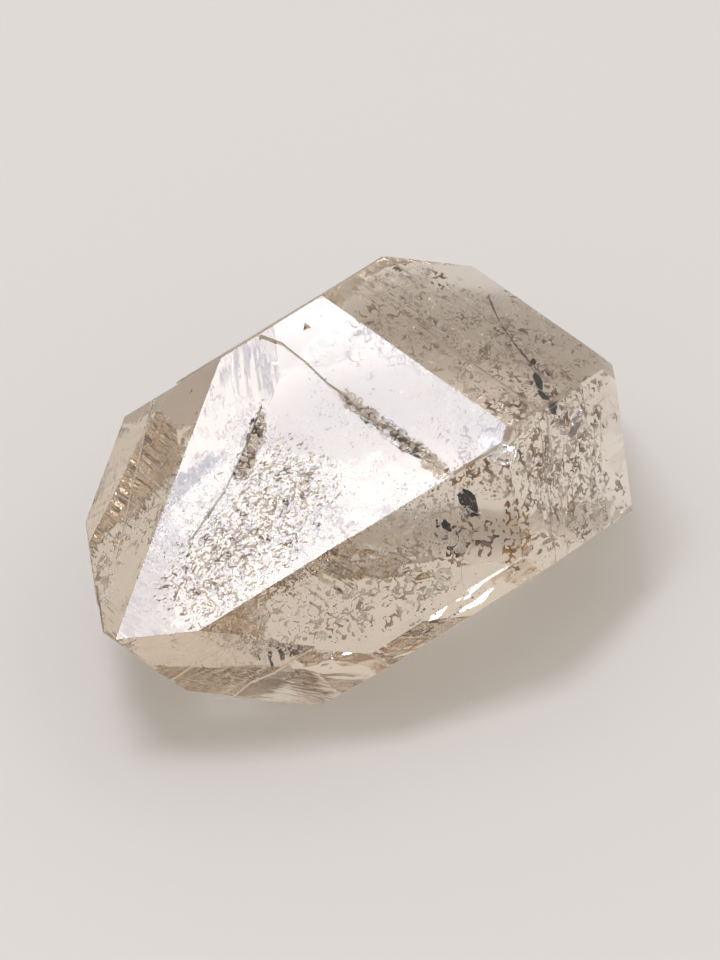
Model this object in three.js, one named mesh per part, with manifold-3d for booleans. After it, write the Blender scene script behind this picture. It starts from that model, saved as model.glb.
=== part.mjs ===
// A double-pointed, water-clear quartz crystal of the short, stout kind, about 26 mm long.
// It is one solid: six side faces, six point faces at each end, small facets on some corners,
// growth ledges, pits and hillocks on the faces, a few chipped edges and a worn flat to lie on.
// Millimetres. The crystal is shaped about its own long axis, then laid down on its flat.

import * as THREE from 'three';
import { ConvexGeometry } from 'three/addons/geometries/ConvexGeometry.js';
import { mergeVertices } from 'three/addons/utils/BufferGeometryUtils.js';
import Module from 'manifold-3d';

// Quartz's own angles, in degrees
const TURN_TO_NEXT = -60;      // from one side face to the next, going round the long axis
const POINT_RISE = 38.21;      // a point face leans in this far from the side face below it
const CORNER_RISE = 24.44;     // the same for the diamond-shaped facet on a corner
const SLANT_RISE = 8.05;       // the same for the steep, slanting facet beside it
const SLANT_TURN = 8.95;       // how far round that facet is turned from its side face

// How far each face lies from the middle of the crystal, going round the long axis
const SIDE_DISTANCES = [6.25, 7.5, 6.45, 6.3, 7.7, 6.5];
const POINT_DISTANCES = [8.2, 9.4, 10.9, 13.1, 13.3, 10.4];
const TAIL_DISTANCES = [5.7, 6.75, 6.7, 4.9, 7.0, 5.6];

// Corner facets, as [face before the corner, end (1 = point, -1 = tail), depth of the cut corner]
const CORNER_FACETS = [
  [0, 1, 0.12], [1, 1, 0.5], [3, 1, 0.45],
  [0, -1, 0.3], [2, -1, 0.5], [4, -1, 0.35], [5, -1, 0.9],
];
// Slanting facets, as [side face, end, way that it is turned, depth]
const SLANT_FACETS = [[4, 1, 1, 0.2], [3, -1, 1, 0.22], [5, -1, 1, 0.15]];

// How the crystal lies: its point tips up from the table and it is rolled about its long axis
const POINT_LIFT = 12.3;       // degrees
const ROLL = -12.4;            // degrees
const FLAT_DEPTH = 1.3;        // worn off the lowest edge, which leaves the flat that it rests on

// Wear: a narrow band along each edge, where it is longer than a corner's breadth
const WEAR_WIDTH = 0.12;
const WORN_EDGE_LENGTH = 0.9;

// Surface relief
const PIT_WIDTH = 0.3;
const PIT_DEPTH = 0.07;
const HILLOCK_WIDTH = 1.3;
const HILLOCK_HEIGHT = 0.03;
const STRIA_WIDTH = 0.14;
const STRIA_DEPTH = 0.02;
const EDGE_MARGIN = 0.5;       // relief stays this far from a face's edges
const CHIP_FACET = 0.4;        // size of the facets in the hollow of a chip
const BALL_EDGE_SHARE = 1.05;  // an icosahedron's edge as a share of its radius

const HEADROOM = 1.5;          // how far a cutting block stands proud of the face
const REACH = 40;              // farther than the crystal is long, for cuts that run off a face
const TOUCH = 1e-6;            // a corner this close to a face lies on it
const WELD = 1e-4;             // vertices closer than this are one
const SEED = 20;
const TRIES = 400;             // places drawn before a face is given up as too small

const wasm = await Module();
wasm.setup();

const degrees = THREE.MathUtils.degToRad;

// A face of the crystal, with its own two directions: across it, and up it towards the point
function makeFace(turn, rise, distance) {
  const round = degrees(turn);
  const lean = degrees(rise);
  const normal = new THREE.Vector3(
    Math.cos(round) * Math.cos(lean),
    Math.sin(round) * Math.cos(lean),
    Math.sin(lean),
  );
  const across = new THREE.Vector3(-Math.sin(round), Math.cos(round), 0);
  const up = normal.clone().cross(across);
  return { normal, across, up, distance };
}

const sides = SIDE_DISTANCES.map((distance, i) => makeFace(i * TURN_TO_NEXT, 0, distance));
const points = POINT_DISTANCES.map((distance, i) => makeFace(i * TURN_TO_NEXT, POINT_RISE, distance));
const tails = TAIL_DISTANCES.map((distance, i) => makeFace(i * TURN_TO_NEXT, -POINT_RISE, distance));

// The corner where three faces meet, or null where two of them are parallel
function meet(a, b, c) {
  const rows = new THREE.Matrix3().set(
    a.normal.x, a.normal.y, a.normal.z,
    b.normal.x, b.normal.y, b.normal.z,
    c.normal.x, c.normal.y, c.normal.z,
  );
  if (Math.abs(rows.determinant()) < TOUCH) return null;
  return new THREE.Vector3(a.distance, b.distance, c.distance).applyMatrix3(rows.invert());
}

// Every corner of the solid that lies behind all the faces
function cornersOf(faces) {
  const corners = [];
  faces.forEach((a, i) => {
    faces.slice(i + 1).forEach((b, j) => {
      faces.slice(i + j + 2).forEach((c) => {
        const corner = meet(a, b, c);
        const known = corner && corners.some((other) => other.distanceTo(corner) < WELD);
        const inside = corner && faces.every((f) => corner.dot(f.normal) <= f.distance + TOUCH);
        if (inside && !known) corners.push(corner);
      });
    });
  });
  return corners;
}

// A facet that cuts the given depth off whatever reaches farthest in its direction
function trimmingFace(turn, rise, depth, blankCorners) {
  const face = makeFace(turn, rise, 0);
  face.distance = Math.max(...blankCorners.map((corner) => corner.dot(face.normal))) - depth;
  return face;
}

function allFaces() {
  const main = [...sides, ...points, ...tails];
  const blankCorners = cornersOf(main);
  const cornerFacets = CORNER_FACETS.map(([before, end, depth]) => (
    trimmingFace((before + 0.5) * TURN_TO_NEXT, end * CORNER_RISE, depth, blankCorners)
  ));
  const slantFacets = SLANT_FACETS.map(([side, end, way, depth]) => (
    trimmingFace(side * TURN_TO_NEXT + way * SLANT_TURN, end * SLANT_RISE, depth, blankCorners)
  ));
  return [...main, ...cornerFacets, ...slantFacets];
}

// The two ends of the edge between two faces, or fewer corners where they don't meet in one
function edgeEnds(faceA, faceB, among) {
  return among.filter((corner) => [faceA, faceB].every((face) => (
    Math.abs(corner.dot(face.normal) - face.distance) < WELD
  )));
}

// The narrow band that wear leaves along the edge between two faces
function wornEdge(faceA, faceB, ends) {
  const normal = faceA.normal.clone().add(faceB.normal).normalize();
  const halfAngle = faceA.normal.angleTo(faceB.normal) / 2;
  const depth = WEAR_WIDTH / 2 * Math.tan(halfAngle);
  return { normal, distance: ends[0].dot(normal) - depth };
}

function wornEdges(faces, sharpCorners) {
  return faces.flatMap((faceA, i) => faces.slice(i + 1).flatMap((faceB) => {
    const ends = edgeEnds(faceA, faceB, sharpCorners);
    const worn = ends.length === 2 && ends[0].distanceTo(ends[1]) > WORN_EDGE_LENGTH;
    return worn ? [wornEdge(faceA, faceB, ends)] : [];
  }));
}

const faces = allFaces();
const sharpCorners = cornersOf(faces);
const corners = cornersOf([...faces, ...wornEdges(faces, sharpCorners)]);

// A closed geometry as a solid that can be cut and joined
function toSolid(geometry) {
  const bare = geometry.clone();
  bare.deleteAttribute('normal');
  bare.deleteAttribute('uv');
  const welded = mergeVertices(bare, WELD);
  return new wasm.Manifold(new wasm.Mesh({
    numProp: 3,
    vertProperties: new Float32Array(welded.attributes.position.array),
    triVerts: new Uint32Array(welded.index.array),
  }));
}

function toGeometry(solid) {
  const mesh = solid.getMesh();
  const geometry = new THREE.BufferGeometry();
  geometry.setAttribute('position', new THREE.Float32BufferAttribute(mesh.vertProperties, 3));
  geometry.setIndex(new THREE.Uint32BufferAttribute(mesh.triVerts, 1));
  return geometry;
}

// A place on a face, measured across and up it from the spot nearest the crystal's middle
function placeOn(face, across, up) {
  return face.normal.clone().multiplyScalar(face.distance)
    .addScaledVector(face.across, across)
    .addScaledVector(face.up, up);
}

// Stands a tool, made with its Z axis outwards, at a place on a face
function standOn(geometry, face, across, up) {
  const basis = new THREE.Matrix4().makeBasis(face.across, face.up, face.normal);
  return geometry.applyMatrix4(basis.setPosition(placeOn(face, across, up)));
}

// Lowers the patch of a face inside an outline; the floor leans, so it is deeper farther up
function patch(face, outline, depth, lean = 0) {
  const shape = new THREE.Shape(outline.map(([across, up]) => new THREE.Vector2(across, up)));
  const block = new THREE.ExtrudeGeometry(shape, { depth: HEADROOM, bevelEnabled: false });
  const hinge = outline[0][1];
  block.translate(0, -hinge, 0).rotateX(-degrees(lean)).translate(0, hinge, -depth);
  return toSolid(standOn(block, face, 0, 0));
}

// A growth ledge: all of the face to the left of a line drawn over it lies lower
function ledge(face, line, depth, lean = 0) {
  const first = new THREE.Vector2(...line[0]);
  const last = new THREE.Vector2(...line[line.length - 1]);
  const along = last.clone().sub(first).normalize();
  const left = new THREE.Vector2(-along.y, along.x).multiplyScalar(REACH);
  const far = [last.clone().add(left), first.clone().add(left)].map((p) => [p.x, p.y]);
  return patch(face, [...line, ...far], depth, lean);
}

// A small sharp-bottomed pit, which has three sides on a point face and four on a side face
function pit(face, across, up, width, depth, sideCount) {
  const cone = new THREE.ConeGeometry(width, 2 * depth, sideCount).rotateX(-Math.PI / 2);
  return toSolid(standOn(cone, face, across, up));
}

// A low growth hillock with a triangular foot
function hillock(face, across, up, width, height) {
  const cone = new THREE.ConeGeometry(width, 2 * height, 3).rotateX(Math.PI / 2);
  return toSolid(standOn(cone, face, across, up));
}

// A fine line cut across a side face, at right angles to the long axis
function stria(face, from, to, up) {
  const edge = STRIA_WIDTH * Math.SQRT1_2;
  const bar = new THREE.BoxGeometry(to - from, edge, edge).rotateX(Math.PI / 4);
  bar.scale(1, 1, 2 * STRIA_DEPTH / STRIA_WIDTH);
  return toSolid(standOn(bar, face, (from + to) / 2, up));
}

// A ball whose facets are about as fine as the crystal needs, to bite shell-shaped chips with
function ball(radius, middle) {
  const detail = Math.round(radius * BALL_EDGE_SHARE / CHIP_FACET);
  return toSolid(new THREE.IcosahedronGeometry(radius, detail).translate(...middle));
}

// A chip bitten out of the edge between two faces, a share of the way along it
function edgeChip(faceA, faceB, share, radius, bite) {
  const [start, end] = edgeEnds(faceA, faceB, sharpCorners);
  const outwards = faceA.normal.clone().add(faceB.normal).normalize();
  return ball(radius, start.clone().lerp(end, share).addScaledVector(outwards, radius - bite));
}

// A nick in the tip at one end of the crystal
function tipChip(end, radius, bite) {
  const reach = Math.max(...corners.map((corner) => end * corner.z));
  const tip = corners.find((corner) => Math.abs(end * corner.z - reach) < WELD);
  const outwards = tip.clone().normalize();
  return ball(radius, tip.clone().addScaledVector(outwards, radius - bite));
}

// A repeatable run of numbers between 0 and 1
function seeded(seed) {
  const factor = 1664525;
  const step = 1013904223;
  const range = 2 ** 32;
  let state = seed;
  return () => {
    state = (state * factor + step) % range;
    return state / range;
  };
}

const random = seeded(SEED);
const between = (low, high) => low + (high - low) * random();

// Draws places on a face until one lies inside it, clear of its edges
function somewhereOn(face, margin) {
  const others = faces.filter((other) => other !== face);
  const widest = Math.max(...SIDE_DISTANCES);
  const highest = Math.max(...POINT_DISTANCES);
  for (let i = 0; i < TRIES; i += 1) {
    const across = between(-widest, widest);
    const up = between(-widest, highest);
    const place = placeOn(face, across, up);
    if (others.every((other) => place.dot(other.normal) < other.distance - margin)) return [across, up];
  }
  return null;
}

function scatterPits(face, count, sideCount) {
  const pits = [];
  for (let i = 0; i < count; i += 1) {
    const place = somewhereOn(face, EDGE_MARGIN);
    const size = between(0.5, 1.3);
    if (place) pits.push(pit(face, ...place, PIT_WIDTH * size, PIT_DEPTH * size, sideCount));
  }
  return pits;
}

function scatterHillocks(face, count) {
  const hillocks = [];
  for (let i = 0; i < count; i += 1) {
    const size = between(0.6, 1.2);
    const place = somewhereOn(face, EDGE_MARGIN + HILLOCK_WIDTH * size / 2);
    if (place) hillocks.push(hillock(face, ...place, HILLOCK_WIDTH * size, HILLOCK_HEIGHT * size));
  }
  return hillocks;
}

// Fine lines cut across a side face
function scatterStriae(face, count) {
  const striae = [];
  for (let i = 0; i < count; i += 1) {
    const [middle, up] = somewhereOn(face, EDGE_MARGIN);
    const halfLength = between(0.5, 1.6);
    striae.push(stria(face, middle - halfLength, middle + halfLength, up));
  }
  return striae;
}

// A line with small uneven steps in it, the way the front of a growth ledge runs
function ragged(from, to, steps, roughness) {
  const start = new THREE.Vector2(...from);
  const end = new THREE.Vector2(...to);
  const aside = end.clone().sub(start).normalize().rotateAround(new THREE.Vector2(), Math.PI / 2);
  const line = [];
  for (let i = 0; i <= steps; i += 1) {
    const spot = start.clone().lerp(end, i / steps);
    spot.addScaledVector(aside, between(-roughness, roughness));
    line.push([spot.x, spot.y]);
  }
  return line;
}

// An open crack of uneven width along a line that runs across a face
function crevice(face, line, narrowest, widest, depth) {
  const halves = line.map(() => between(narrowest, widest) / 2);
  const upper = line.map(([across, up], i) => [across, up + halves[i]]);
  const lower = line.map(([across, up], i) => [across, up - halves[i]]).reverse();
  return patch(face, [...upper, ...lower], depth);
}

// The broad upper face of the point: a ragged ledge runs straight over it, with an open crack
// along its foot and a gash above
function broadFaceCuts() {
  const ledgeLine = [
    [-6, 3.2], [-3.9, 3.1], [-3.3, 3.22], [-2.4, 3.0], [-1.4, 2.98], [-0.3, 3.2],
    [0.7, 2.96], [1.6, 2.98], [2.7, 2.84], [3.9, 2.78], [4.7, 3.0], [7, 3.05],
  ];
  const crackedPart = [
    [-3.6, 3.16], [-3.3, 3.22], [-2.9, 3.08], [-2.4, 3.0], [-1.9, 2.96], [-1.4, 2.98], [-0.9, 3.14],
    [-0.3, 3.2], [0.2, 3.08], [0.7, 2.96], [1.6, 2.98], [2.7, 2.84], [3.9, 2.78], [4.7, 3.0],
  ];
  const gash = [
    [3.0, 5.0], [2.5, 6.5], [2.0, 8.4], [1.75, 10.8], [1.5, 8.3], [1.65, 6.5], [2.25, 5.6],
  ];
  return [
    ledge(points[0], ledgeLine, 0.07, 0.3),
    crevice(points[0], crackedPart, 0.06, 0.2, 0.2),
    patch(points[0], gash, 0.25),
    ...scatterPits(points[0], 9, 3),
  ];
}

// The other faces of the point, each with one or two ledges that run along its foot or its edges
function pointFaceCuts() {
  return [
    ledge(points[1], ragged([-7, 2.3], [6, 2.0], 14, 0.1), 0.05, 0.3),
    ledge(points[1], ragged([-7, 6.8], [5, 5.6], 14, 0.12), 0.1, 0.2),
    ledge(points[2], ragged([-9, 7.0], [9, 6.4], 16, 0.15), 0.08, 0.4),
    ledge(points[2], ragged([-9, 9.4], [9, 9.8], 16, 0.15), 0.18, 0.4),
    ledge(points[3], ragged([-9, 8.2], [9, 9.0], 16, 0.15), 0.12, 0.3),
    ledge(points[4], ragged([-9, 6.0], [9, 6.6], 16, 0.15), 0.06, 0.3),
    ledge(points[4], ragged([-9, 8.0], [9, 8.4], 16, 0.15), 0.15, 0.5),
    ledge(points[5], ragged([3.2, -1], [4.6, 15], 16, 0.1), 0.06),
    ledge(points[5], ragged([-9, 9.2], [9, 9.9], 16, 0.1), 0.05, 0.3),
    ...[1, 2, 3, 4, 5].flatMap((i) => scatterPits(points[i], 7, 3)),
  ];
}

function sideFaceCuts() {
  return [
    ledge(sides[0], ragged([-7, 3.6], [6, 3.4], 14, 0.07), 0.04, 0.2),
    ledge(sides[0], ragged([6, 0.6], [-7, 0.9], 14, 0.08), 0.05),
    ledge(sides[1], ragged([-5, 3.8], [5, 3.6], 12, 0.08), 0.05, 0.3),
    ledge(sides[1], ragged([5, 0.8], [-5, 0.6], 12, 0.08), 0.05),
    ledge(sides[2], ragged([-9, 3.4], [9, 3.7], 16, 0.1), 0.05, 0.3),
    ledge(sides[2], ragged([-0.6, 9], [0.2, -9], 16, 0.15), 0.1),
    ledge(sides[3], ragged([-9, 8.1], [9, 7.8], 16, 0.12), 0.08, 0.3),
    ledge(sides[4], ragged([-9, 4.6], [9, 4.2], 16, 0.12), 0.08, 0.4),
    ledge(sides[4], ragged([9, 1.5], [-9, 1.1], 16, 0.1), 0.06),
    ledge(sides[5], ragged([-9, 5.0], [9, 5.4], 16, 0.1), 0.06, 0.3),
    ledge(sides[5], ragged([9, 1.5], [-9, 1.2], 16, 0.1), 0.07),
    ...sides.flatMap((side) => scatterPits(side, 5, 4)),
    ...sides.flatMap((side) => scatterStriae(side, 5)),
  ];
}

// The faces of the far end; two of them step down towards the tip, as faces that grew in a hurry do
function tailFaceCuts() {
  return [
    ledge(tails[0], ragged([9, 0.9], [-9, 1.2], 16, 0.12), 0.06),
    ledge(tails[0], ragged([9, -1.6], [-9, -1.2], 16, 0.12), 0.14),
    ledge(tails[1], ragged([9, 0.6], [-9, 0.2], 16, 0.12), 0.07),
    ledge(tails[2], ragged([9, -2.2], [-9, -1.8], 16, 0.12), 0.09),
    ledge(tails[3], ragged([9, -4.0], [-9, -3.7], 16, 0.12), 0.09),
    ledge(tails[5], ragged([9, 1.4], [-9, 1.0], 16, 0.15), 0.09),
    ledge(tails[5], ragged([9, -0.4], [-9, -0.6], 16, 0.15), 0.19),
    ledge(tails[5], ragged([9, -2.6], [-9, -2.4], 16, 0.15), 0.3),
    ...tails.flatMap((tail) => scatterPits(tail, 5, 3)),
  ];
}

// Knocks from the rock and the other crystals that it lay with
function chips() {
  return [
    tipChip(1, 0.9, 0.22),
    tipChip(-1, 1.1, 0.3),
    edgeChip(points[0], points[1], 0.32, 1.2, 0.06),
    edgeChip(points[0], points[5], 0.55, 1.0, 0.05),
    edgeChip(points[0], sides[0], 0.2, 1.0, 0.05),
    edgeChip(sides[0], sides[1], 0.6, 1.4, 0.09),
    edgeChip(sides[1], points[1], 0.4, 1.3, 0.08),
    edgeChip(sides[4], sides[5], 0.55, 2.2, 0.1),
    edgeChip(sides[5], points[5], 0.5, 1.2, 0.08),
    edgeChip(tails[0], tails[5], 0.5, 1.8, 0.14),
    edgeChip(sides[2], sides[3], 0.4, 1.6, 0.12),
    edgeChip(tails[3], tails[4], 0.5, 5.5, 0.4),
  ];
}

function hillocks() {
  return [
    ...scatterHillocks(points[2], 3),
    ...scatterHillocks(points[4], 4),
    ...scatterHillocks(tails[1], 3),
    ...scatterHillocks(tails[3], 4),
    ...scatterHillocks(tails[4], 3),
  ];
}

// The worn flat: a block as wide as the crystal takes off all that lies lower
function wornFlat(lowest) {
  const block = new THREE.BoxGeometry(2 * REACH, 2 * REACH, REACH);
  return toSolid(block.translate(0, 0, lowest + FLAT_DEPTH - REACH / 2));
}

// Turns the crystal from standing on its tail to lying on its side, point towards -X
function layDown(geometry) {
  const roll = new THREE.Matrix4().makeRotationZ(degrees(ROLL));
  const tip = new THREE.Matrix4().makeRotationY(-degrees(90 - POINT_LIFT));
  return geometry.applyMatrix4(tip.multiply(roll));
}

// Brings the middle of the crystal's underside to the origin
function settle(geometry) {
  geometry.computeBoundingBox();
  const box = geometry.boundingBox;
  const middle = box.getCenter(new THREE.Vector3());
  return geometry.translate(-middle.x, -middle.y, -box.min.z);
}

function crystalGeometry() {
  const grown = wasm.Manifold.union([toSolid(new ConvexGeometry(corners)), ...hillocks()]);
  const cuts = [...broadFaceCuts(), ...pointFaceCuts(), ...sideFaceCuts(), ...tailFaceCuts(), ...chips()];
  const carved = layDown(toGeometry(grown.subtract(wasm.Manifold.union(cuts))));
  carved.computeBoundingBox();
  const rested = toSolid(carved).subtract(wornFlat(carved.boundingBox.min.z));
  return settle(toGeometry(rested));
}

const smokyClear = new THREE.MeshStandardMaterial({
  color: 0xe4d8ca,
  roughness: 0.05,
  metalness: 0,
  transparent: true,
  opacity: 0.6,
  flatShading: true,
});

const crystal = new THREE.Mesh(crystalGeometry(), smokyClear);
crystal.name = 'crystal';

const group = new THREE.Group();
group.add(crystal);

export default group;
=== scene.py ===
"""The looks of a clear, double-pointed quartz crystal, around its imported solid.

The crystal is one transmitting mesh. What shows inside it is thin opaque mesh that Geometry Nodes
make: healed cracks with worm-like channels, veils of tiny flattened bubbles, shiny crack flakes,
carbon specks and films of iron stain. Each lies where the photograph shows it, along the sight line
through a named pixel, bent at the crystal's surface. Lengths are in metres, unless the words say
millimetres.
"""
import math

import bmesh
import bpy
from mathutils import Matrix, Vector
from mathutils.bvhtree import BVHTree


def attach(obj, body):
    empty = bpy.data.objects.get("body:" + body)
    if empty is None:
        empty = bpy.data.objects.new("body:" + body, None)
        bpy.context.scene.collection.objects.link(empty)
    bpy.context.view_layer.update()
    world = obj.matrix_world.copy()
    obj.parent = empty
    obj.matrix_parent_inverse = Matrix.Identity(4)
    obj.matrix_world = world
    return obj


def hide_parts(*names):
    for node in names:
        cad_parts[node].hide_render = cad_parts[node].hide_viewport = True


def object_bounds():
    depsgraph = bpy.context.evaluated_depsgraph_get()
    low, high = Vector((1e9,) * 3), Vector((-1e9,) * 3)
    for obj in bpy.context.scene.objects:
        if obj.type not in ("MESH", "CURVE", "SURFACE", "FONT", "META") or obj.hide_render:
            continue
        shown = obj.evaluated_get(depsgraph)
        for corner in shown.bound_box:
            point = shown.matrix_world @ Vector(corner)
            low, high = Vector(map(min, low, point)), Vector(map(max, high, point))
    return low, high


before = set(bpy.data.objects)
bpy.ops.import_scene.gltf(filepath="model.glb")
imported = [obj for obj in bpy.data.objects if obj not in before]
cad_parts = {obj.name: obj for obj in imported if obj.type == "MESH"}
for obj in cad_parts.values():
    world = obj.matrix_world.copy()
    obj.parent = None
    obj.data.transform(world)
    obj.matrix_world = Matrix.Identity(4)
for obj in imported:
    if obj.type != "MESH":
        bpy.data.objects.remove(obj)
cad_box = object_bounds()

MM = 0.001

# The camera: where it stands round the crystal, and how much of the frame's width the crystal fills
CAMERA_AZIMUTH = -55.0
CAMERA_ELEVATION = 41.0
CAMERA_DISTANCE = 0.36
NEAREST_SEEN = CAMERA_DISTANCE / 20
FARTHEST_SEEN = CAMERA_DISTANCE * 40
SENSOR_LONG_SIDE = 36.0        # millimetres
FRAME_SHAPE = 720 / 960        # width over height
CRYSTAL_SHARE = 0.76

# The crystal's outline in the photograph, in pixels
PHOTO_LEFT = 375.3
PHOTO_RIGHT = 480.4
PHOTO_TOP = 448.7
PHOTO_BOTTOM = 535.3

# Pixels of the photograph, from one end to the other of what is long on or under the broad face
FOOT_ETCHING = ((400, 511), (414, 494))
CRACK_ETCHING = ((425, 476), (443, 490))
GASH_ETCHING = ((409, 480), (406, 490))
# The dark sheet along the open crack is partly painted shade: it darkens the line as the crack's shaded side
# wall would
OPEN_CRACK_GRAINS_AND_PAINTED_SHADE = ((423, 475), (445, 491))
GASH_GRAINS = ((409.5, 478), (405, 491))

# The same for what is long elsewhere
FAR_CRACK_GRAINS = ((451, 456), (462, 472))
IRON_STREAK = ((458.5, 495), (457.5, 509))

# Pixels of the photograph behind which the middle of each brown healed crack lies
TOP_FACE = (437, 457)
FAR_TOP_FACE = (449, 463)
BROAD_FACE_FOOT = (407, 502)
RIGHT_SIDE = (467, 488)
RIGHT_TIP = (471, 492)
RIGHT_SHOULDER = (464, 480)

# The same for pale healed cracks
LOWER_FACE = (437, 506)
LOWER_RIM = (434, 514)
UNDER_FAR_TOP = (452, 466)
LEFT_FACE = (384, 505)
LOWER_LEFT = (420, 517)

# The same for veils of bubbles
LEFT_VEIL = (386, 496)
FOOT_VEIL = (405, 502)
FAR_TOP_VEIL = (452, 462)
RIGHT_VEIL = (468, 492)
LOWER_VEIL = (440, 500)
MIDDLE_VEIL = (425, 485)
RIM_VEIL = (447, 516)

# The same for a cloud of dark grains, a spot of iron stain and two shiny flakes
LOWER_GRAINS = (448, 499)
IRON_SPOT = (446, 489)
SHOULDER_FLAKE = (469, 481)
CORNER_FLAKE = (454, 487)

# Lumps of carbon: the pixel, how deep in millimetres, turned how many degrees, millimetres across
# its length, breadth and height, and the seed of its unevenness
CARBON_LUMPS = [
    ((461.8, 473), 1.3, 10, (0.3, 0.9, 0.25), 1),
    ((462.8, 476), 1.2, 40, (0.26, 0.5, 0.2), 5),
    ((460.9, 469.5), 1.4, -20, (0.2, 0.45, 0.2), 6),
    ((463.8, 471.5), 1.6, 0, (0.15, 0.3, 0.15), 7),
    ((448.5, 496.5), 1.0, 30, (0.55, 1.1, 0.35), 2),
    ((443.5, 500.5), 1.2, 70, (0.35, 0.6, 0.25), 4),
    ((414, 497), 2.0, 30, (0.3, 0.35, 0.2), 3),
]
LUMP_UNEVENNESS = 2.8

# How the crystal lies: its long axis points to -X, and this far up
POINT_LIFT = 12.3              # degrees

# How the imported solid's flat faces are made whole
WELD_DISTANCE = 0.0005 * MM
FLAT_WITHIN = 0.02             # degrees

# Faces this narrow, with a rim at least this long, are worn edges
WORN_BAND_WIDTH = 0.14 * MM
WORN_BAND_RIM = 1.2 * MM
MAIN_FACE_AREA = 1.6 * MM * MM     # a direction that more of the surface faces is a main face's

# How well two directions agree, as the cosine between them
FACES_CAMERA = 0.5
FACES_FLOOR = 0.999
SAME_FACE = 0.995
ACROSS_AXIS = 0.1

# How strong the fine relief is: on the broad face, on faces seen or turned away, on the worn flat
BROAD_RELIEF = 0.6
SEEN_RELIEF = 1.6
HIDDEN_RELIEF = 6.0
FLAT_RELIEF = 22.0

# The fine relief's heights in millimetres at a strength of 1, and how its growth lines bend
RIPPLE_HEIGHT = 0.010
WRINKLE_HEIGHT = 0.004
GROWTH_LINE_HEIGHT = 0.004
SCUFF_HEIGHT = 0.05
GROWTH_LINE_BEND = 0.3 * MM

# How fine the surface's noises are, in waves per metre, and how far apart their seeds lie
SLOW_NOISE = 380
WAVE_NOISE = 1100
GRAIN_NOISE = 2600
FROST_NOISE = 300
SEED_STEP = (0.17, 0.23, 0.11)

# Where the broad face is finely etched: between which pixels, how far to the sides and how softly
# it ends, both in millimetres, and how strongly
ETCHED = [
    (FOOT_ETCHING, 2.1, 2.8, 0.065),
    (CRACK_ETCHING, 0.18, 0.4, 0.24),
    (GASH_ETCHING, 0.13, 0.4, 0.24),
]
ETCHING_WANDER = 1.2 * MM

# Clear, faintly smoky quartz
QUARTZ_IOR = 1.544
QUARTZ_TINT = (0.84, 0.62, 0.32, 1)
QUARTZ_DENSITY = 30            # how much it absorbs, per metre
POLISHED_ROUGHNESS = 0.02
FROSTED_ROUGHNESS = 0.09
WORN_ROUGHNESS = 0.35

# What a healed crack and a veil of bubbles are like where nothing else is said, in millimetres
CRACK_LOOKS = {
    "bend": 0.03, "ruffle": 0.8, "channels_per_mm": 2.4, "channel_width": 0.04,
    "thickness": 0.04, "coverage": 0.6, "cell": 0.052, "skin": 0.25,
}
VEIL_LOOKS = {
    "bend": 0.03, "ruffle": 1.2, "bubbles_per_mm2": 130.0, "bubble_size": 0.12, "rows_per_mm": 1.0,
}

# How steeply a healed crack thins out where it is bare, past its rim, and near the surface
BARE_FALL = 25.0
RIM_FALL = 8.0
SKIN_FALL = 30.0

# How far a sheet can reach to each side, as a share of its size, and past its ruffles, in millimetres
SHEET_REACH = 0.6
SHEET_SLACK = 0.6

# Bubbles: how far they keep from the surface in millimetres, how stretched and how tilted they are
VEIL_SKIN = 0.3
LEAST_STRETCH = (0.6, 0.5, 0.16)
GREATEST_STRETCH = (1.4, 1.0, 0.3)
BUBBLE_TILT = 0.25             # radians
SMALLEST_BUBBLE = 0.35         # as a share of the bubble size

# The key light stands where the broad face mirrors it into the camera
KEY_DISTANCE = 0.5
KEY_WIDTH = 0.12
KEY_HEIGHT = 0.16
KEY_RADIANCE = 12.0
KEY_TINT = (0.83, 0.87, 1.0)

# The studio around it all, a little darker towards the floor
STUDIO_TINT = (1.0, 0.965, 0.93, 1)
STUDIO_STRENGTH = 0.73
STUDIO_LOW = 0.85

FLOOR_RADIUS = 1.2
FLOOR_TINT = (0.80, 0.77, 0.73, 1)
FLOOR_ROUGHNESS = 0.7
FLOOR_GAP = 0.02 * MM          # air between the flat and the floor


def camera_back():
    """The direction from the crystal to the camera."""
    turn = math.radians(CAMERA_AZIMUTH)
    rise = math.radians(CAMERA_ELEVATION)
    return Vector((math.sin(turn) * math.cos(rise), -math.cos(turn) * math.cos(rise), math.sin(rise)))


def camera_axes():
    """The picture's right and up directions."""
    back = camera_back()
    right = Vector((0, 0, 1)).cross(back).normalized()
    return right, back.cross(right)


def picture_extent(obj):
    """The crystal's span in the picture's right and up directions."""
    right, up = camera_axes()
    across = [v.co.dot(right) for v in obj.data.vertices]
    upward = [v.co.dot(up) for v in obj.data.vertices]
    return (min(across), max(across)), (min(upward), max(upward))


def box_middle():
    low, high = cad_box
    return (low + high) / 2


def make_camera(solid):
    """A camera at the photograph's viewing angle, with the crystal in the middle of its frame."""
    (left, right_end), (bottom, top) = picture_extent(solid)
    right, up = camera_axes()
    back = camera_back()
    middle = right * (left + right_end) / 2 + up * (bottom + top) / 2 + back * box_middle().dot(back)
    frame_width = (right_end - left) / CRYSTAL_SHARE
    data = bpy.data.cameras.new("camera")
    data.sensor_width = SENSOR_LONG_SIDE
    data.lens = SENSOR_LONG_SIDE * CAMERA_DISTANCE * FRAME_SHAPE / frame_width
    data.clip_start = NEAREST_SEEN
    data.clip_end = FARTHEST_SEEN
    camera = new_object("camera", data)
    camera.location = middle + back * CAMERA_DISTANCE
    camera.rotation_mode = "QUATERNION"
    camera.rotation_quaternion = back.to_track_quat("Z", "Y")
    bpy.context.scene.camera = camera


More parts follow.
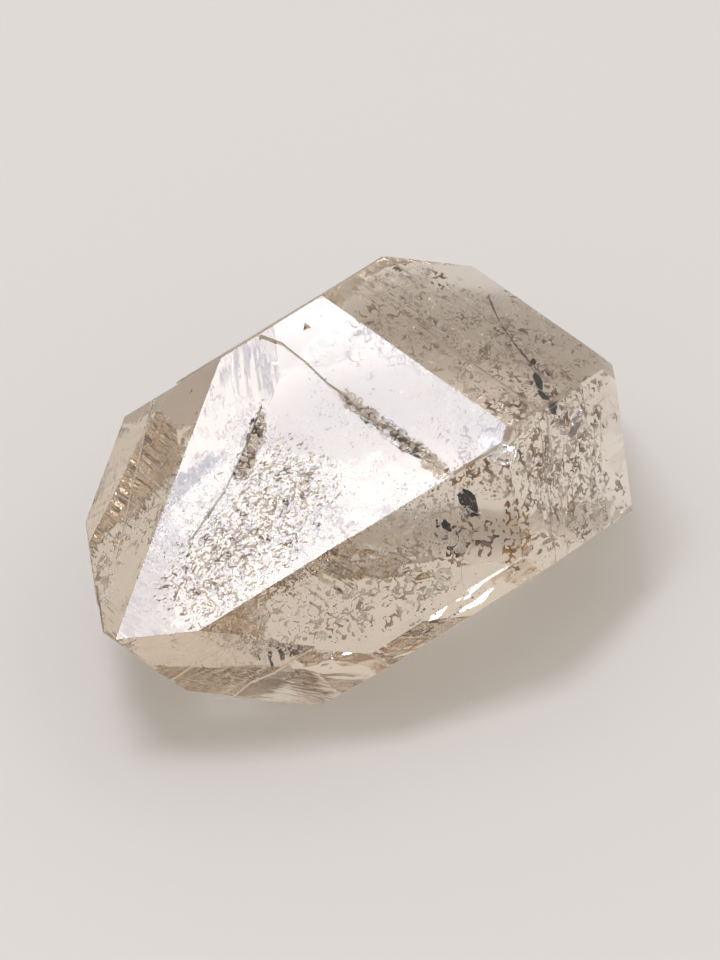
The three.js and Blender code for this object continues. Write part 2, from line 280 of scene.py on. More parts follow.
class Plan:
    """A node tree in the making. Values given to a node are numbers, or what another node gives."""

    def __init__(self, tree):
        self.tree = tree

    def give(self, socket, value):
        """Links or sets an input."""
        if isinstance(value, bpy.types.Node):
            value = next(s for s in value.outputs if s.enabled)
        if isinstance(value, bpy.types.NodeSocket):
            self.tree.links.new(value, socket)
        else:
            socket.default_value = value

    def add(self, kind, *values, settings=None, **named):
        """A node with its settings, then its enabled inputs in order, then inputs by name."""
        node = self.tree.nodes.new(kind)
        for name, value in (settings or {}).items():
            setattr(node, name, value)
        enabled = [s for s in node.inputs if s.enabled]
        for socket, value in zip(enabled, values):
            self.give(socket, value)
        for name, value in named.items():
            self.give(next(s for s in enabled if s.name == name.replace("_", " ")), value)
        return node

    def math(self, operation, *values):
        return self.add("ShaderNodeMath", *values, settings={"operation": operation})

    def plus(self, first, *others):
        """The sum of values, added one after another."""
        for other in others:
            first = self.math("ADD", first, other)
        return first

    def minus(self, first, second):
        return self.math("SUBTRACT", first, second)

    def times(self, first, second):
        return self.math("MULTIPLY", first, second)

    def at_least_none(self, value):
        """The value, or 0 where it is below 0."""
        return self.math("MAXIMUM", value, 0.0)

    def ramp(self, value, low, high, start, end):
        """From start at low to end at high, and held outside them."""
        return self.add("ShaderNodeMapRange", value, low, high, start, end)

    def triple(self, value):
        """A vector of the same value three times."""
        return self.add("ShaderNodeCombineXYZ", value, value, value)

    def vector(self, operation, *values):
        return self.add("ShaderNodeVectorMath", *values, settings={"operation": operation})

    def length_of(self, operation, *values):
        """The one number that a vector operation gives."""
        return self.vector(operation, *values).outputs["Value"]

    def attribute(self, name):
        return self.add("ShaderNodeAttribute", settings={"attribute_name": name}).outputs["Fac"]

    def noise(self, place, scale, seed=0.0, detail=2.0, distortion=0.0):
        """Noise for a shape, or for a surface that rays seldom hit."""
        node = self.add("ShaderNodeTexNoise", settings={"noise_dimensions": "4D"}, Vector=place, W=seed,
                        Scale=scale, Detail=detail, Distortion=distortion)
        return node.outputs["Fac"]

    def quick_noise(self, place, scale, seed, detail=1.0):
        """Noise for a surface, which is worked out at every hit of a ray: the seed only moves it."""
        moved = self.vector("ADD", place, tuple(seed * step for step in SEED_STEP))
        return self.add("ShaderNodeTexNoise", Vector=moved, Scale=scale, Detail=detail).outputs["Fac"]


def new_object(name, data):
    obj = bpy.data.objects.new(name, data)
    bpy.context.scene.collection.objects.link(obj)
    return obj


def new_material(name):
    """A material, the plan of its nodes and its shader."""
    material = bpy.data.materials.new(name)
    material.use_nodes = True
    return material, Plan(material.node_tree), material.node_tree.nodes["Principled BSDF"]


def long_axis():
    """The direction of the crystal's length, towards the point that the photograph shows."""
    lift = math.radians(POINT_LIFT)
    return Vector((-math.cos(lift), 0, math.sin(lift)))


def direction_key(normal):
    """A direction rounded off, so that one flat face's polygons share it."""
    return tuple(round(c, 2) for c in normal)


def direction_areas(mesh):
    """How much of the surface faces each direction, by the direction rounded off."""
    areas = {}
    for polygon in mesh.polygons:
        key = direction_key(polygon.normal)
        areas[key] = areas.get(key, 0) + polygon.area
    return areas


def broad_face_normal(solid):
    """The outward direction of the crystal's largest face on the camera's side."""
    back = camera_back()
    areas = direction_areas(solid.data)
    seen = {key: area for key, area in areas.items() if Vector(key).dot(back) > FACES_CAMERA}
    return Vector(max(seen, key=seen.get)).normalized()


def is_worn_band(polygon, mesh, areas):
    """Whether a face is one of the narrow bands that wear leaves along an edge."""
    corners = [mesh.vertices[i].co for i in polygon.vertices]
    rim = sum((a - b).length for a, b in zip(corners, corners[1:] + corners[:1]))
    mean_width = 2 * polygon.area / rim
    alike = areas[direction_key(polygon.normal)]
    return mean_width < WORN_BAND_WIDTH and rim > WORN_BAND_RIM and alike < MAIN_FACE_AREA


def relief_strength(normal, broad_normal):
    """How strong the fine relief is on a face with this outward direction."""
    if normal.dot(broad_normal) > SAME_FACE:
        return BROAD_RELIEF
    if normal.z < -FACES_FLOOR:
        return FLAT_RELIEF
    if normal.dot(camera_back()) < 0:
        return HIDDEN_RELIEF
    return SEEN_RELIEF


def mark_faces(mesh, broad_normal):
    """Stores on each face how strong its fine relief is, and whether it is a side face or worn."""
    relief = mesh.attributes.new("relief", "FLOAT", "FACE")
    side = mesh.attributes.new("side_face", "FLOAT", "FACE")
    worn = mesh.attributes.new("worn", "FLOAT", "FACE")
    axis = long_axis()
    areas = direction_areas(mesh)
    for polygon in mesh.polygons:
        index = polygon.index
        relief.data[index].value = relief_strength(polygon.normal, broad_normal)
        side.data[index].value = float(abs(polygon.normal.dot(axis)) < ACROSS_AXIS)
        worn.data[index].value = float(is_worn_band(polygon, mesh, areas))


def crystal_mesh(solid):
    """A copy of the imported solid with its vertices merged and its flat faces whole."""
    bm = bmesh.new()
    bm.from_mesh(solid.data)
    bmesh.ops.remove_doubles(bm, verts=bm.verts, dist=WELD_DISTANCE)
    bmesh.ops.dissolve_limit(bm, angle_limit=math.radians(FLAT_WITHIN), verts=bm.verts, edges=bm.edges)
    mesh = bpy.data.meshes.new("clear_crystal")
    bm.to_mesh(mesh)
    bm.free()
    return mesh


class Sight:
    """Finds where a pixel of the photograph lies inside the crystal, and lays sheets there."""

    def __init__(self, solid):
        (self.left, self.right_end), (self.bottom, self.top) = picture_extent(solid)
        self.right, self.up = camera_axes()
        self.back = camera_back()
        self.surface = BVHTree.FromObject(solid, bpy.context.evaluated_depsgraph_get())

    def inside(self, pixel, depth):
        """The place this far in, in millimetres, along the bent sight line through a photo pixel."""
        across = (pixel[0] - PHOTO_LEFT) / (PHOTO_RIGHT - PHOTO_LEFT)
        upward = (PHOTO_BOTTOM - pixel[1]) / (PHOTO_BOTTOM - PHOTO_TOP)
        start = self.right * (self.left + across * (self.right_end - self.left))
        start += self.up * (self.bottom + upward * (self.top - self.bottom))
        start += self.back * CAMERA_DISTANCE
        hit, normal, _, _ = self.surface.ray_cast(start, -self.back)
        cosine = normal.dot(self.back)
        bend = 1 / QUARTZ_IOR
        sine_inside = bend * math.sqrt(1 - cosine * cosine)
        cosine_inside = math.sqrt(1 - sine_inside * sine_inside)
        onwards = -self.back * bend + normal * (bend * cosine - cosine_inside)
        return hit + onwards.normalized() * depth * MM

    def at(self, pixel, depth, facing=(0, 0, 1), spin=0):
        """The matrix of a sheet behind a pixel. Facing is its normal, as right, up, to the camera."""
        normal = self.right * facing[0] + self.up * facing[1] + self.back * facing[2]
        turn = normal.to_track_quat("Z", "Y").to_matrix() @ Matrix.Rotation(math.radians(spin), 3, "Z")
        return Matrix.Translation(self.inside(pixel, depth)) @ turn.to_4x4() @ Matrix.Scale(MM, 4)

    def between(self, pixels, depth, normal=None):
        """The matrix of a sheet whose length runs from one pixel's place to another's.

        Without a normal the sheet stands edge-on to the camera.
        """
        start, end = [self.inside(pixel, depth) for pixel in pixels]
        onwards = (end - start).normalized()
        if normal is None:
            normal = onwards.cross(self.inside(pixels[0], depth + 1) - start).normalized()
        upwards = (normal - onwards * normal.dot(onwards)).normalized()
        turn = Matrix((onwards, upwards.cross(onwards), upwards)).transposed()
        return Matrix.Translation((start + end) / 2) @ turn.to_4x4() @ Matrix.Scale(MM, 4)


def from_stretch(plan, place, start, end):
    """How far a place is from the straight stretch between two others."""
    onwards = end - start
    offset = plan.vector("SUBTRACT", place, tuple(start))
    share = plan.math("DIVIDE", plan.length_of("DOT_PRODUCT", offset, tuple(onwards)), onwards.dot(onwards))
    held = plan.add("ShaderNodeClamp", share, 0.0, 1.0)
    nearest = plan.vector("MULTIPLY", tuple(onwards), plan.triple(held))
    return plan.length_of("DISTANCE", offset, nearest)


def etching(plan, place, sight, waves, grain):
    """Fine uneven heights, in millimetres, where the broad face is etched.

    Waves is the noise that its ends wander by, and grain the one that its own relief follows.
    """
    total = 0.0
    wander = plan.times(plan.minus(waves, 0.5), ETCHING_WANDER)
    for pixels, reach, fade, strength in ETCHED:
        start, end = [sight.inside(pixel, 0) for pixel in pixels]
        away = plan.plus(from_stretch(plan, place, start, end), plan.times(wander, min(fade, 1.0)))
        share = plan.ramp(away, (reach - fade / 2) * MM, (reach + fade / 2) * MM, strength, 0.0)
        total = plan.plus(total, share)
    return plan.times(plan.minus(grain, 0.5), total)


def surface_height(plan, place, sight, worn):
    """The fine relief of the faces, in millimetres."""
    slow = plan.quick_noise(place, SLOW_NOISE, seed=1, detail=2)
    waves = plan.quick_noise(place, WAVE_NOISE, seed=2)
    grain = plan.quick_noise(place, GRAIN_NOISE, seed=8, detail=2)
    ripple = plan.times(slow, RIPPLE_HEIGHT)
    wrinkle = plan.times(waves, WRINKLE_HEIGHT)

    # Growth lines run across the side faces
    along = plan.length_of("DOT_PRODUCT", place, tuple(long_axis()))
    bent = plan.plus(along, plan.times(slow, GROWTH_LINE_BEND))
    lines = plan.quick_noise(plan.add("ShaderNodeCombineXYZ", bent), GRAIN_NOISE, seed=4)
    growth_lines = plan.times(plan.times(lines, plan.attribute("side_face")), GROWTH_LINE_HEIGHT)

    scuffs = plan.times(plan.times(grain, worn), SCUFF_HEIGHT)
    height = plan.plus(plan.plus(ripple, wrinkle), plan.plus(growth_lines, scuffs))
    return plan.plus(plan.times(height, plan.attribute("relief")), etching(plan, place, sight, waves, grain))


def quartz(sight):
    """Clear quartz with glassy faces, faintly frosted in patches and dull where it is worn."""
    material, plan, shader = new_material("clear_quartz")
    shader.inputs["Base Color"].default_value = (1, 1, 1, 1)
    shader.inputs["IOR"].default_value = QUARTZ_IOR
    shader.inputs["Transmission Weight"].default_value = 1
    place = plan.add("ShaderNodeTexCoord").outputs["Object"]
    worn = plan.attribute("worn")
    height = surface_height(plan, place, sight, worn)
    plan.give(shader.inputs["Normal"], plan.add("ShaderNodeBump", Height=height, Distance=MM, Strength=1.0))

    frosting = plan.quick_noise(place, FROST_NOISE, seed=5, detail=2)
    sheen = plan.ramp(frosting, 0.45, 0.75, POLISHED_ROUGHNESS, FROSTED_ROUGHNESS)
    plan.give(shader.inputs["Roughness"], plan.plus(sheen, plan.times(worn, WORN_ROUGHNESS)))

    absorption = plan.add("ShaderNodeVolumeAbsorption")
    absorption.inputs["Color"].default_value = QUARTZ_TINT
    absorption.inputs["Density"].default_value = QUARTZ_DENSITY
    plan.give(material.node_tree.nodes["Material Output"].inputs["Volume"], absorption)
    return material


def make_crystal(solid, broad_normal):
    """The clear crystal, and the sight lines into it."""
    crystal = new_object("clear_crystal", crystal_mesh(solid))
    mark_faces(crystal.data, broad_normal)
    sight = Sight(crystal)
    crystal.data.materials.append(quartz(sight))
    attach(crystal, "root")
    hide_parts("crystal")
    return crystal, sight


# The trees below work in millimetres, in a sheet's own frame: it spreads in X and Y, and faces Z.

def new_tree(name, inputs):
    """The plan of a tree with the named inputs, as (name, kind of value), and its input sockets."""
    tree = bpy.data.node_groups.new(name, "GeometryNodeTree")
    for title, kind in inputs:
        tree.interface.new_socket(title, in_out="INPUT", socket_type="NodeSocket" + kind)
    tree.interface.new_socket("Mesh", in_out="OUTPUT", socket_type="NodeSocketGeometry")
    return Plan(tree), tree.nodes.new("NodeGroupInput").outputs


def end_tree(plan, shape, material):
    """Every tree ends in real mesh with its material set."""
    real = plan.add("GeometryNodeRealizeInstances", shape)
    finished = plan.add("GeometryNodeSetMaterial", real, Material=material)
    plan.give(plan.tree.nodes.new("NodeGroupOutput").inputs[0], finished)
    return plan.tree


def room_inside(plan, crystal, place):
    """How far inside the crystal's surface a place is, in millimetres; less than none outside."""
    body = plan.add("GeometryNodeObjectInfo", crystal, settings={"transform_space": "RELATIVE"})
    surface = body.outputs["Geometry"]
    near = plan.add("GeometryNodeProximity", Geometry=surface, Sample_Position=place,
                    settings={"target_element": "FACES"})
    outwards = plan.add("GeometryNodeSampleNearestSurface", surface, plan.add("GeometryNodeInputNormal"),
                        settings={"data_type": "FLOAT_VECTOR"}, Sample_Position=place)
    inwards = plan.vector("SUBTRACT", near.outputs["Position"], place)
    side = plan.math("SIGN", plan.length_of("DOT_PRODUCT", inwards, outwards))
    return plan.times(near.outputs["Distance"], side)


def sheet_height(plan, place, given):
    """The place on the flat, how high a bent, ruffled sheet lies over it, and the place's own height."""
    parts = plan.add("ShaderNodeSeparateXYZ", place)
    flat = plan.add("ShaderNodeCombineXYZ", parts.outputs["X"], parts.outputs["Y"], 0.0)
    span = plan.length_of("DOT_PRODUCT", flat, flat)
    bowl = plan.times(span, plan.times(given["Bend"], 0.5))
    waves = plan.minus(plan.noise(flat, scale=0.45, seed=given["Seed"], detail=1), 0.5)
    return flat, plan.plus(bowl, plan.times(waves, given["Ruffle"])), parts.outputs["Z"]


def past_edge(plan, flat, given):
    """Grows from 0 at the ragged rim of a sheet's rounded outline, and is below 0 within it."""
    size = plan.add("ShaderNodeCombineXYZ", given["Length"], given["Breadth"], 1.0)
    share = plan.length_of("LENGTH", plan.vector("DIVIDE", flat, size))
    ragged = plan.times(plan.noise(flat, scale=0.7, seed=given["Seed"], detail=3), 0.9)
    return plan.minus(plan.plus(plan.times(share, 2.0), ragged), 1.25)


def crack_density(plan, place, given):
    """Above 0 inside the channels of a healed crack."""
    seed = given["Seed"]
    flat, height, own_height = sheet_height(plan, place, given)
    pattern = plan.noise(flat, given["Channels per mm"], plan.plus(seed, 11.0), detail=1, distortion=0.6)
    aside = plan.math("DIVIDE", plan.minus(pattern, 0.5), given["Channel width"])
    above = plan.math("DIVIDE", plan.minus(own_height, height), given["Thickness"])
    round_section = plan.plus(plan.times(aside, aside), plan.times(above, above))
    cover = plan.noise(flat, scale=0.55, seed=plan.plus(seed, 23.0), detail=3)
    bare = plan.at_least_none(plan.minus(plan.minus(1.0, given["Coverage"]), cover))
    beyond = plan.at_least_none(past_edge(plan, flat, given))
    room = room_inside(plan, given["Crystal"], place)
    outside = plan.at_least_none(plan.minus(given["Skin"], room))
    taken = plan.plus(plan.times(bare, BARE_FALL), plan.times(beyond, RIM_FALL),
                      plan.times(outside, SKIN_FALL))
    return plan.minus(plan.minus(1.0, round_section), taken)


def sheet_box(plan, given):
    """The low and high corners of the box that a bent, ruffled sheet fits in."""
    half_length = plan.times(given["Length"], SHEET_REACH)
    half_breadth = plan.times(given["Breadth"], SHEET_REACH)
    half_ruffle = plan.times(plan.plus(given["Ruffle"], SHEET_SLACK), 0.5)
    bowl = plan.times(plan.times(given["Length"], given["Length"]), plan.times(given["Bend"], 0.25))
    low = plan.add("ShaderNodeCombineXYZ", *[plan.times(half, -1.0)
                                             for half in (half_length, half_breadth, half_ruffle)])
    high = plan.add("ShaderNodeCombineXYZ", half_length, half_breadth, plan.plus(half_ruffle, bowl))
    return low, high


def healed_crack_tree():
    """Worm-like channels, or islands where their width is large, left on a crack that healed."""
    plan, given = new_tree("healed crack", [
        ("Crystal", "Object"), ("Length", "Float"), ("Breadth", "Float"), ("Bend", "Float"),
        ("Ruffle", "Float"), ("Channels per mm", "Float"), ("Channel width", "Float"),
        ("Thickness", "Float"), ("Coverage", "Float"), ("Cell", "Float"), ("Skin", "Float"),
        ("Seed", "Float"), ("Material", "Material"),
    ])
    place = plan.add("GeometryNodeInputPosition").outputs[0]
    density = crack_density(plan, place, given)
    low, high = sheet_box(plan, given)
    spans = plan.add("ShaderNodeSeparateXYZ", plan.vector("SUBTRACT", high, low))
    counts = [plan.math("DIVIDE", spans.outputs[axis], given["Cell"]) for axis in "XY"]
    counts.append(plan.math("DIVIDE", spans.outputs["Z"], plan.times(given["Cell"], 0.6)))
    field = plan.add("GeometryNodeVolumeCube", density, -5.0, low, high, *counts)
    skin = plan.add("GeometryNodeVolumeToMesh", field, settings={"resolution_mode": "GRID"}, Threshold=0.0)
    return end_tree(plan, skin, given["Material"])


def bubble_share(plan, place, flat, given):
    """How thick the bubbles lie at a place on a veil, from 0 to 1, in fingerprint-like rows."""
    seed = given["Seed"]
    rows = plan.noise(place, given["Rows per mm"], plan.plus(seed, 5.0), detail=1, distortion=0.8)
    off_row = plan.math("ABSOLUTE", plan.minus(rows, 0.5))
    on_row = plan.ramp(off_row, 0.02, 0.09, 1.0, 0.12)
    patches = plan.noise(place, scale=0.5, seed=plan.plus(seed, 31.0))
    patchy = plan.ramp(patches, 0.42, 0.58, 0.0, 1.0)
    within_rim = plan.math("LESS_THAN", past_edge(plan, flat, given), 0.0)
    within_crystal = plan.math("GREATER_THAN", room_inside(plan, given["Crystal"], place), VEIL_SKIN)
    return plan.times(plan.times(on_row, patchy), plan.times(within_rim, within_crystal))


def bubble_size(plan, given):
    """Mostly small bubbles and a few large ones, each stretched its own way."""
    chance = plan.add("FunctionNodeRandomValue", settings={"data_type": "FLOAT"}, Seed=given["Seed"])
    growth = plan.math("POWER", chance.outputs[1], 3.0)
    size = plan.times(given["Bubble size"], plan.plus(SMALLEST_BUBBLE, growth))
    stretch = plan.add("FunctionNodeRandomValue", LEAST_STRETCH, GREATEST_STRETCH,
                       settings={"data_type": "FLOAT_VECTOR"}, Seed=plan.plus(given["Seed"], 1.0))
    return plan.vector("MULTIPLY", stretch.outputs[0], plan.triple(size))


def bubble_turn(plan, lying, given):
    """Bubbles that lie on the sheet, tilt a little and spin freely."""
    spin = plan.add("FunctionNodeRandomValue", (-BUBBLE_TILT, -BUBBLE_TILT, 0.0),
                    (BUBBLE_TILT, BUBBLE_TILT, math.tau),
                    settings={"data_type": "FLOAT_VECTOR"}, Seed=plan.plus(given["Seed"], 2.0))
    turn = plan.add("FunctionNodeEulerToRotation", spin.outputs[0])
    return plan.add("FunctionNodeRotateRotation", lying, turn, settings={"rotation_space": "LOCAL"})


def bubble_veil_tree():
    """Tiny flattened bubbles, thick where a fingerprint-like pattern says, on a bent sheet."""
    plan, given = new_tree("bubble veil", [
        ("Crystal", "Object"), ("Length", "Float"), ("Breadth", "Float"), ("Bend", "Float"),
        ("Ruffle", "Float"), ("Bubbles per mm2", "Float"), ("Bubble size", "Float"),
        ("Rows per mm", "Float"), ("Seed", "Int"), ("Material", "Material"),
    ])
    cells = plan.times(given["Length"], 6.0)
    grid = plan.add("GeometryNodeMeshGrid", given["Length"], given["Breadth"], cells, cells)
    place = plan.add("GeometryNodeInputPosition").outputs[0]
    flat, height, _ = sheet_height(plan, place, given)
    raised = plan.add("ShaderNodeCombineXYZ", 0.0, 0.0, height)
    sheet = plan.add("GeometryNodeSetPosition", grid, Offset=raised)
    density = plan.times(bubble_share(plan, place, flat, given), given["Bubbles per mm2"])
    scattered = plan.add("GeometryNodeDistributePointsOnFaces", sheet, Seed=given["Seed"], Density=density)
    bubble = plan.add("GeometryNodeMeshIcoSphere", 0.5, 1)
    bubbles = plan.add("GeometryNodeInstanceOnPoints", scattered.outputs["Points"], Instance=bubble,
                       Rotation=bubble_turn(plan, scattered.outputs["Rotation"], given),
                       Scale=bubble_size(plan, given))
    return end_tree(plan, bubbles, given["Material"])


def lump_tree():
    """A small uneven lump, as a speck of carbon is."""
    plan, given = new_tree("lump", [
        ("Size", "Vector"), ("Unevenness", "Float"), ("Seed", "Float"), ("Material", "Material"),
    ])
    ball = plan.add("GeometryNodeMeshIcoSphere", 0.5, 4)
    place = plan.add("GeometryNodeInputPosition").outputs[0]
    bumps = plan.minus(plan.noise(place, scale=2.2, seed=given["Seed"], detail=3), 0.5)
    moved = plan.vector("MULTIPLY", place, plan.triple(plan.times(bumps, given["Unevenness"])))
    rough = plan.add("GeometryNodeSetPosition", ball, Offset=moved)
    sized = plan.add("GeometryNodeTransform", rough, Scale=given["Size"])
    return end_tree(plan, sized, given["Material"])


def grown(tree, where, **values):
    """Runs a tree at a place inside the crystal and gives the plain mesh that it makes."""
    obj = new_object("growing", bpy.data.meshes.new("growing"))
    obj.matrix_world = where
    modifier = obj.modifiers.new("shape", "NODES")
    modifier.node_group = tree
    for item in tree.interface.items_tree:
        key = item.name.lower().replace(" ", "_")
        if item.in_out == "INPUT" and key in values:
            modifier[item.identifier] = values.pop(key)
    assert not values, values
    bpy.context.view_layer.update()
    depsgraph = bpy.context.evaluated_depsgraph_get()
    mesh = bpy.data.meshes.new_from_object(obj.evaluated_get(depsgraph), depsgraph=depsgraph)
    mesh.transform(where)
    bpy.data.objects.remove(obj)
    return mesh


class Grower:
    """Grows meshes of one material inside the crystal, and joins them into one piece."""

    def __init__(self, crystal, trees, material):
        self.crystal = crystal
        self.trees = trees
        self.material = material
        self.meshes = []

    def crack(self, where, length, breadth, seed, **more):
        """Adds a healed crack. More holds what differs from its usual looks."""
        looks = {**CRACK_LOOKS, **more}
        self.meshes.append(grown(self.trees["crack"], where, crystal=self.crystal, length=length,
                                 breadth=breadth, seed=float(seed), material=self.material, **looks))

    def veil(self, where, length, breadth, seed, **more):
        """Adds a veil of bubbles."""
        looks = {**VEIL_LOOKS, **more}
        self.meshes.append(grown(self.trees["veil"], where, crystal=self.crystal, length=length,
                                 breadth=breadth, seed=seed, material=self.material, **looks))

    def lump(self, where, size, seed):
        """Adds an uneven lump."""
        self.meshes.append(grown(self.trees["lump"], where, size=size, unevenness=LUMP_UNEVENNESS,
                                 seed=float(seed), material=self.material))

    def finish(self, name, slot):
        """Makes one piece of all that was added."""
        bm = bmesh.new()
        for mesh in self.meshes:
            bm.from_mesh(mesh)
        joined = bpy.data.meshes.new(name)
        bm.to_mesh(joined)
        bm.free()
        joined.materials.append(self.material)
        joined.polygons.foreach_set("material_index", [0] * len(joined.polygons))
        obj = new_object(name, joined)
        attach(obj, "root")


def inclusion_material(name, dark, pale, patch_scale, metallic, roughness):
    """A glossy or dull finish between two tints, which change in patches."""
    material, plan, shader = new_material(name)
    place = plan.add("ShaderNodeTexCoord").outputs["Object"]
    patches = plan.ramp(plan.noise(place, patch_scale, seed=3, detail=3), 0.38, 0.62, 0.0, 1.0)
    tint = plan.add("ShaderNodeMix", settings={"data_type": "RGBA"}, Factor=patches,
                    A=(*dark, 1), B=(*pale, 1))
    plan.give(shader.inputs["Base Color"], tint.outputs["Result"])
    shader.inputs["Metallic"].default_value = metallic
    shader.inputs["Roughness"].default_value = roughness
    return material


def brown_channel_material():
    return inclusion_material("healed_channels", dark=(0.23, 0.145, 0.085), pale=(0.90, 0.80, 0.68),
                              patch_scale=1300, metallic=0.2, roughness=0.25)


def pale_channel_material():
    return inclusion_material("pale_channels", dark=(0.50, 0.36, 0.25), pale=(0.98, 0.93, 0.86),
                              patch_scale=1300, metallic=0.0, roughness=0.3)


def grain_and_painted_shade_material():
    # These dark tints are also painted shade along the open crack of the broad face
    return inclusion_material("dark_grains", dark=(0.035, 0.022, 0.016), pale=(0.34, 0.24, 0.18),
                              patch_scale=2200, metallic=0.1, roughness=0.4)


def bubble_material():
    return inclusion_material("tiny_bubbles", dark=(0.30, 0.25, 0.21), pale=(0.95, 0.93, 0.92),
                              patch_scale=1500, metallic=0.3, roughness=0.2)


def carbon_material():
    return inclusion_material("carbon", dark=(0.014, 0.010, 0.008), pale=(0.07, 0.048, 0.034),
                              patch_scale=4000, metallic=0.0, roughness=0.6)


def iron_material():
    return inclusion_material("iron", dark=(0.20, 0.085, 0.025), pale=(0.62, 0.37, 0.13),
                              patch_scale=2600, metallic=0.0, roughness=0.5)


def flake_material():
    return inclusion_material("bright_flakes", dark=(0.75, 0.72, 0.74), pale=(0.98, 0.97, 1.0),
                              patch_scale=900, metallic=0.9, roughness=0.12)


# Each function below makes one piece. A sheet's depth, length and breadth are in millimetres.

def make_brown_channels(grower, sight):
    grower.crack(sight.at(TOP_FACE, 1.3, (0.3, 0.5, 1), 30), 7.5, 3.8, seed=3)
    grower.crack(sight.at(FAR_TOP_FACE, 0.9, (0.35, 0.55, 1), -25), 9.0, 4.2, seed=36, coverage=0.58)
    grower.crack(sight.at(BROAD_FACE_FOOT, 0.8, (-0.1, 0.5, 1), 40), 8.5, 5.0, seed=8,
                 coverage=0.62, channels_per_mm=2.8, channel_width=0.06)
    grower.finish("brown_channels", "healed_crack")


def make_right_channels(grower, sight):
    grower.crack(sight.at(RIGHT_SIDE, 1.6, (0.8, 0.1, 1), 60), 8.5, 5.5, seed=9, coverage=0.62)
    grower.crack(sight.at(RIGHT_TIP, 2.6, (0.7, 0.2, 1), 100), 7.0, 4.5, seed=34, coverage=0.55)
    grower.crack(sight.at(RIGHT_SHOULDER, 3.8, (0.5, -0.2, 1), 20), 7.0, 5.0, seed=35, coverage=0.55)
    grower.finish("right_channels", "healed_crack")


def make_pale_channels(grower, sight):
    grower.crack(sight.at(LOWER_FACE, 1.3, (0.1, -0.6, 1), 20), 6.5, 4.2, seed=5, channel_width=0.045)
    grower.crack(sight.at(LOWER_RIM, 1.0, (0.1, -0.7, 1), 25), 8.0, 2.6, seed=37, channels_per_mm=2.8)
    grower.crack(sight.at(UNDER_FAR_TOP, 3.0, (-0.2, 0.6, 1), 100), 8.0, 4.5, seed=31, coverage=0.55)
    grower.crack(sight.at(LEFT_FACE, 1.5, (-0.8, 0.2, 1), 80), 6.0, 3.0, seed=32, coverage=0.55)
    grower.crack(sight.at(LOWER_LEFT, 0.9, (0.0, -0.7, 1), 10), 6.5, 2.8, seed=33, channels_per_mm=3.0)
    grower.finish("pale_channels", "healed_crack")


def make_bubble_veils(grower, sight):
    grower.veil(sight.at(LEFT_VEIL, 1.2, (-0.8, 0.1, 1), 70), 8.0, 4.0, seed=12)
    grower.veil(sight.at(FOOT_VEIL, 0.9, (-0.1, 0.5, 1), 40), 10.0, 6.0, seed=14)
    grower.veil(sight.at(FAR_TOP_VEIL, 2.0, (0.4, 0.5, 1), -30), 9.0, 5.0, seed=16)
    grower.veil(sight.at(RIGHT_VEIL, 1.6, (0.9, 0.1, 1), 80), 7.0, 5.0, seed=17, bubbles_per_mm2=220.0)
    grower.veil(sight.at(LOWER_VEIL, 0.9, (0.1, -0.6, 1), 20), 7.0, 4.0, seed=18)
    grower.veil(sight.at(MIDDLE_VEIL, 6.0, (0.2, -0.2, 1), 10), 14.0, 9.0, seed=15)
    grower.veil(sight.at(RIM_VEIL, 0.8, (0.2, -0.6, 1), 25), 6.0, 2.6, seed=19)
    grower.finish("bubble_veils", "healed_crack")


def make_grains_and_painted_shade(grower, sight, broad_normal):
    """Dark grains along the open crack, partly painted shade of its side wall, along the gash of the broad
    face, and on two cracks inside.
    """
    # Partly painted shade: a dark sheet just under the open crack, darkening its line as the shaded side
    # wall would
    grower.crack(sight.between(OPEN_CRACK_GRAINS_AND_PAINTED_SHADE, 0.2, broad_normal), 5.6, 0.9, seed=21,
                 bend=0.0, ruffle=0.05, skin=0.05, channels_per_mm=3.4, channel_width=0.07)
    grower.crack(sight.between(GASH_GRAINS, 0.2, broad_normal), 3.6, 0.8, seed=22,
                 bend=0.0, ruffle=0.08, skin=0.05, channels_per_mm=3.2, channel_width=0.07)
    grower.crack(sight.at(LOWER_GRAINS, 2.0, (0.3, -0.3, 1), 80), 4.4, 3.2, seed=6,
                 coverage=0.5, channel_width=0.045)
    grower.crack(sight.between(FAR_CRACK_GRAINS, 1.0), 4.6, 1.0, seed=41,
                 bend=0.1, ruffle=0.3, channel_width=0.10, coverage=0.75)
    grower.finish("dark_grains", "carbon_speck")


def make_carbon_specks(grower, sight):
    for pixel, depth, spin, size, seed in CARBON_LUMPS:
        grower.lump(sight.at(pixel, depth, spin=spin), size, seed)
    grower.finish("carbon_specks", "carbon_speck")


def make_iron_films(grower, sight):
    grower.crack(sight.between(IRON_STREAK, 0.9, sight.back), 3.4, 1.1, seed=51,
                 ruffle=0.3, channels_per_mm=3.4, channel_width=0.06, coverage=0.62)
    grower.crack(sight.at(IRON_SPOT, 1.4, (0.2, -0.3, 1), 20), 2.0, 1.2, seed=52,
                 ruffle=0.4, channels_per_mm=3.4, channel_width=0.05)
    grower.finish("iron_films", "iron_film")


def make_bright_flakes(grower, sight):
    grower.crack(sight.at(SHOULDER_FLAKE, 0.8, (0.5, 0.5, 1), 30), 1.6, 0.8, seed=61,
                 ruffle=0.2, channel_width=0.15)
    grower.crack(sight.at(CORNER_FLAKE, 0.9, (0.2, 0.3, 1), -40), 1.8, 0.8, seed=62,
                 ruffle=0.2, channel_width=0.08)
    grower.finish("bright_flakes", "healed_crack")


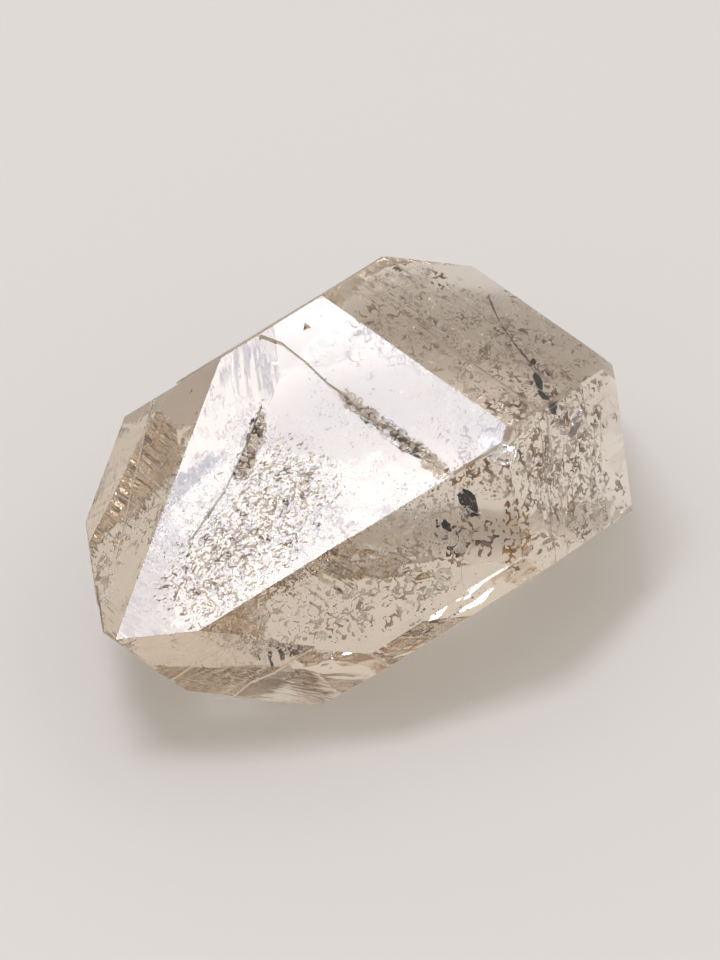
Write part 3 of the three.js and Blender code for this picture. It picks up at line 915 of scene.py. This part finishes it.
def make_inclusions(crystal, sight, broad_normal):
    """All that shows inside the crystal."""
    trees = {"crack": healed_crack_tree(), "veil": bubble_veil_tree(), "lump": lump_tree()}

    def grower(material):
        return Grower(crystal, trees, material)

    brown = brown_channel_material()
    make_brown_channels(grower(brown), sight)
    make_right_channels(grower(brown), sight)
    make_pale_channels(grower(pale_channel_material()), sight)
    make_bubble_veils(grower(bubble_material()), sight)
    make_grains_and_painted_shade(grower(grain_and_painted_shade_material()), sight, broad_normal)
    make_carbon_specks(grower(carbon_material()), sight)
    make_iron_films(grower(iron_material()), sight)
    make_bright_flakes(grower(flake_material()), sight)


def make_key_light(broad_normal):
    """A soft box that the broad face mirrors into the camera."""
    back = camera_back()
    mirror = broad_normal * (2 * broad_normal.dot(back)) - back
    data = bpy.data.lights.new("key", "AREA")
    data.shape = "RECTANGLE"
    data.size = KEY_WIDTH
    data.size_y = KEY_HEIGHT
    data.color = KEY_TINT
    data.energy = KEY_RADIANCE * math.pi * KEY_WIDTH * KEY_HEIGHT
    light = new_object("key", data)
    light.location = box_middle() + mirror.normalized() * KEY_DISTANCE
    light.rotation_mode = "QUATERNION"
    light.rotation_quaternion = mirror.to_track_quat("Z", "Y")


def make_studio():
    """Soft light from all round."""
    world = bpy.data.worlds.new("studio")
    bpy.context.scene.world = world
    world.use_nodes = True
    plan = Plan(world.node_tree)
    direction = plan.add("ShaderNodeSeparateXYZ", plan.add("ShaderNodeTexCoord").outputs["Generated"])
    brightness = plan.ramp(direction.outputs["Z"], -0.1, 0.9, STUDIO_LOW, 1.0)
    backdrop = world.node_tree.nodes["Background"]
    backdrop.inputs["Color"].default_value = STUDIO_TINT
    plan.give(backdrop.inputs["Strength"], plan.times(brightness, STUDIO_STRENGTH))


def make_floor():
    """A plain pale floor just under the crystal's flat."""
    bm = bmesh.new()
    bmesh.ops.create_circle(bm, cap_ends=True, segments=96, radius=FLOOR_RADIUS)
    mesh = bpy.data.meshes.new("floor")
    bm.to_mesh(mesh)
    bm.free()
    floor = new_object("floor", mesh)
    floor.location.z = cad_box[0].z - FLOOR_GAP
    material, _, shader = new_material("pale_floor")
    shader.inputs["Base Color"].default_value = FLOOR_TINT
    shader.inputs["Roughness"].default_value = FLOOR_ROUGHNESS
    floor.data.materials.append(material)


def set_render():
    """How colours are shown, and how far light is followed through the crystal."""
    scene = bpy.context.scene
    scene.view_settings.view_transform = "Standard"
    scene.cycles.use_denoising = True
    scene.cycles.max_bounces = 12
    scene.cycles.transmission_bounces = 11
    scene.cycles.glossy_bounces = 6
    scene.cycles.transparent_max_bounces = 12
    scene.cycles.blur_glossy = 0.3
    scene.cycles.sample_clamp_indirect = 6


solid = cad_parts["crystal"]
broad_normal = broad_face_normal(solid)
make_camera(solid)
crystal, sight = make_crystal(solid, broad_normal)
make_inclusions(crystal, sight, broad_normal)
make_floor()
make_key_light(broad_normal)
make_studio()
set_render()
